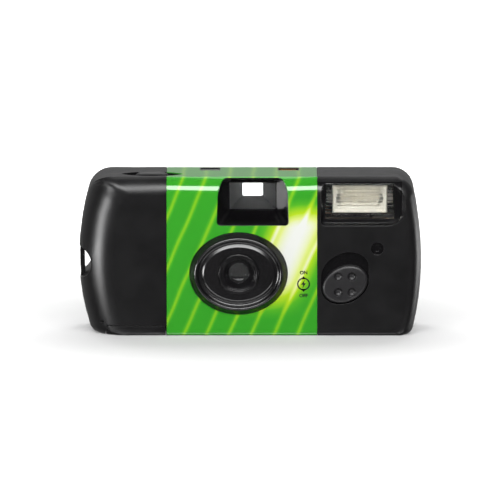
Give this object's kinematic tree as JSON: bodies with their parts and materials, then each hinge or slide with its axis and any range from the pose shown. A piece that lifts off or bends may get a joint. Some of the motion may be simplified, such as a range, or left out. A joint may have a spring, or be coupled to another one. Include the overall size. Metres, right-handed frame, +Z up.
{
  "type": "disposable film camera",
  "caption": "Flat moulded single-use film camera with a rounded body, printed wrap label, oval lens dish, viewfinder well, ribbed flash window and a sliding flash switch.",
  "frame": {"origin": "middle of the base, on the surface it stands on", "axes": "+X to the picture's right along the width, +Y from the lens side to the back, +Z up"},
  "size_m": [0.1139, 0.034, 0.0539],
  "materials": {
    "black_abs": "fine moulded grain",
    "gloss_black": "polished moulding",
    "inner_black": "plain",
    "label_print": "printed film",
    "clear": "clear moulding",
    "reflector": "bright",
    "spring_steel": "rolled",
    "white_acetal": "satin",
    "board": "solder mask",
    "sleeve": "shrunk sleeve",
    "ferrite": "ground",
    "copper_wire": "enamelled winding",
    "amber": "translucent",
    "contact_brass": "stamped",
    "cell_jacket": "printed jacket",
    "cassette_paint": "lacquer",
    "film_base": "acetate"
  },
  "bodies": {
    "body": {"front_cover": "black_abs", "rear_cover": "black_abs", "main_frame": "inner_black", "wrap_label": "label_print", "lens_panel": "gloss_black", "lens_ring": "gloss_black", "taking_lens": "clear", "aperture_plate": "inner_black", "shutter_base": "inner_black", "drive_spring": "spring_steel", "counter_window": "clear", "finder_front_lens": "clear", "finder_housing": "inner_black", "finder_rear_lens": "clear", "flash_window": "clear", "flash_reflector": "reflector", "flash_tube": "clear", "circuit_board": "board", "flash_capacitor": "sleeve", "transformer": "ferrite", "trigger_coil": "copper_wire", "pilot_lamp": "amber", "sync_contact": "contact_brass", "switch_contact": "contact_brass", "battery": "cell_jacket", "contact_positive": "contact_brass", "contact_negative": "contact_brass", "cassette_shell": "cassette_paint", "film_strip": "film_base"},
    "winding": {"winding_wheel": "black_abs", "cassette_spool": "inner_black"},
    "sprocket": {"film_sprocket": "white_acetal"},
    "supply": {"supply_spool": "inner_black", "film_roll": "film_base"},
    "counter": {"counter_dial": "white_acetal"},
    "button": {"shutter_button": "gloss_black"},
    "release": {"release_lever": "white_acetal"},
    "drive": {"drive_lever": "white_acetal"},
    "blade": {"shutter_blade": "spring_steel"},
    "flash_switch": {"switch_knob": "black_abs", "switch_slider": "inner_black", "pilot_guide": "amber"},
    "door": {"film_door": "black_abs"}
  },
  "joints": [
    {"name": "wheel_spin", "type": "hinge", "parent": "body", "child": "winding", "pos_m": [-0.038, 0.0026, 0.0464], "axis": [0, 0, 1], "continuous": true},
    {"name": "sprocket_spin", "type": "hinge", "parent": "body", "child": "sprocket", "pos_m": [-0.02, 0.0075, 0.037], "axis": [0, 0, 1], "continuous": true},
    {"name": "supply_spin", "type": "hinge", "parent": "body", "child": "supply", "pos_m": [0.03, 0.0057, 0.0229], "axis": [0, 0, 1], "continuous": true},
    {"name": "counter_spin", "type": "hinge", "parent": "body", "child": "counter", "pos_m": [-0.0133, 0.0055, 0.0491], "axis": [0, 0, 1], "continuous": true},
    {"name": "button_press", "type": "slide", "parent": "body", "child": "button", "axis": [0, 0, -1], "range_m": [0, 0.0012], "stiffness_N_per_m": 500},
    {"name": "release_rock", "type": "hinge", "parent": "body", "child": "release", "pos_m": [-0.0242, -0.004, 0.04985], "axis": [0, -1, 0], "range_deg": [0, 10]},
    {"name": "drive_swing", "type": "hinge", "parent": "body", "child": "drive", "pos_m": [-0.0165, -0.0015, 0.0459], "axis": [0, 0, 1], "range_deg": [0, 15], "stiffness_Nm_per_rad": 0.003, "deforming": ["drive_spring"]},
    {"name": "blade_swing", "type": "hinge", "parent": "body", "child": "blade", "pos_m": [-0.0123, -0.01, 0.025], "axis": [0, 1, 0], "range_deg": [0, 36]},
    {"name": "flash_slide", "type": "slide", "parent": "body", "child": "flash_switch", "axis": [0, 0, 1], "range_m": [0, 0.004]},
    {"name": "door_hinge", "type": "hinge", "parent": "body", "child": "door", "pos_m": [-0.038, 0.01595, 0.00105], "axis": [1, 0, 0], "range_deg": [0, 100]}
  ],
  "couplings": [
    {"joint": "sprocket_spin", "follows": "wheel_spin", "ratio": 1.07},
    {"joint": "supply_spin", "follows": "wheel_spin", "ratio": 0.86},
    {"joint": "counter_spin", "follows": "wheel_spin", "ratio": -0.0357},
    {"joint": "release_rock", "follows": "button_press", "rad_per_m": 137},
    {"joint": "blade_swing", "follows": "drive_swing", "ratio": 2.3333}
  ]
}
